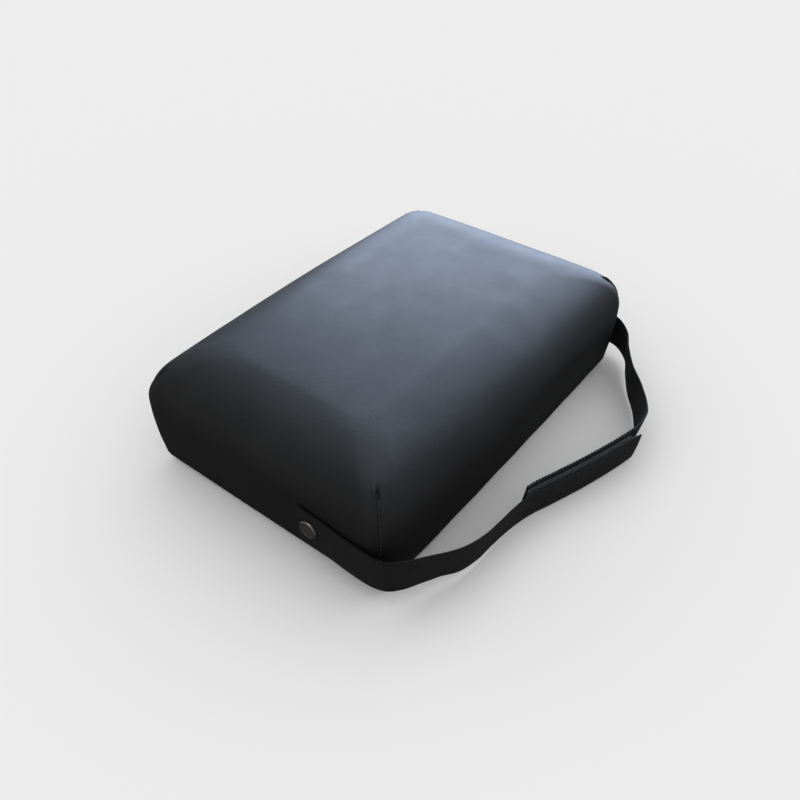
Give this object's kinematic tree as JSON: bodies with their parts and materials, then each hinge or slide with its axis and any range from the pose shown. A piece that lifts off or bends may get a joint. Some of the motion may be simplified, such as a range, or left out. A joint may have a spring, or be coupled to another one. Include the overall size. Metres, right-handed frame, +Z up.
{
  "type": "kneeling pad",
  "caption": "Upholstered rectangular kneeling pad: foam under a black vinyl cover on a wooden base, with a webbing carrying strap riveted to the short ends and closed by a hook-and-loop lap.",
  "frame": {"origin": "centre of the base panel's flat underside, on the ground", "axes": "+Z up; X along the pad's length; Y across it, with the strap loop on the -Y side"},
  "size_m": [0.4083, 0.3613, 0.126],
  "materials": {
    "vinyl": "satin smooth black faux leather",
    "foam": "open-cell polyurethane foam",
    "plywood": "raw plywood",
    "panel": "dark stained plywood",
    "webbing": "woven black webbing",
    "hook": "moulded nylon hooks",
    "loop": "brushed nylon loops",
    "thread": "bonded nylon thread",
    "rivet_cap": "satin nickel",
    "steel": "zinc plated"
  },
  "bodies": {
    "pad": {"base_panel": "panel", "base_board": "plywood", "panel_screw_1": "steel", "panel_screw_2": "steel", "panel_screw_3": "steel", "panel_screw_4": "steel", "panel_screw_5": "steel", "panel_screw_6": "steel", "hem_staple_01": "steel", "hem_staple_02": "steel", "hem_staple_03": "steel", "hem_staple_04": "steel", "hem_staple_05": "steel", "hem_staple_06": "steel", "hem_staple_07": "steel", "hem_staple_08": "steel", "hem_staple_09": "steel", "hem_staple_10": "steel", "hem_staple_11": "steel", "hem_staple_12": "steel", "hem_staple_13": "steel", "hem_staple_14": "steel", "hem_staple_15": "steel", "hem_staple_16": "steel", "hem_staple_17": "steel", "hem_staple_18": "steel", "hem_staple_19": "steel", "hem_staple_20": "steel", "foam_block": "foam", "vinyl_cover": "vinyl", "corner_thread_1": "thread", "corner_thread_2": "thread", "corner_thread_3": "thread", "corner_thread_4": "thread", "rivet_near": "rivet_cap", "rivet_far": "rivet_cap", "washer_near": "steel", "washer_far": "steel"},
    "strap_near": {"strap_near_half": "webbing", "hook_tape": "hook"},
    "strap_far": {"strap_far_half": "webbing", "loop_tape": "loop"}
  },
  "joints": [
    {"name": "strap_near_swing", "type": "hinge", "parent": "pad", "child": "strap_near", "pos_m": [-0.2004, -0.065, 0.0475], "axis": [-1, 0, 0], "range_deg": [0, 115]},
    {"name": "strap_far_swing", "type": "hinge", "parent": "pad", "child": "strap_far", "pos_m": [0.2004, -0.065, 0.0475], "axis": [-1, 0, 0], "range_deg": [0, 115]}
  ],
  "couplings": [
    {"joint": "strap_far_swing", "follows": "strap_near_swing", "ratio": 1}
  ]
}
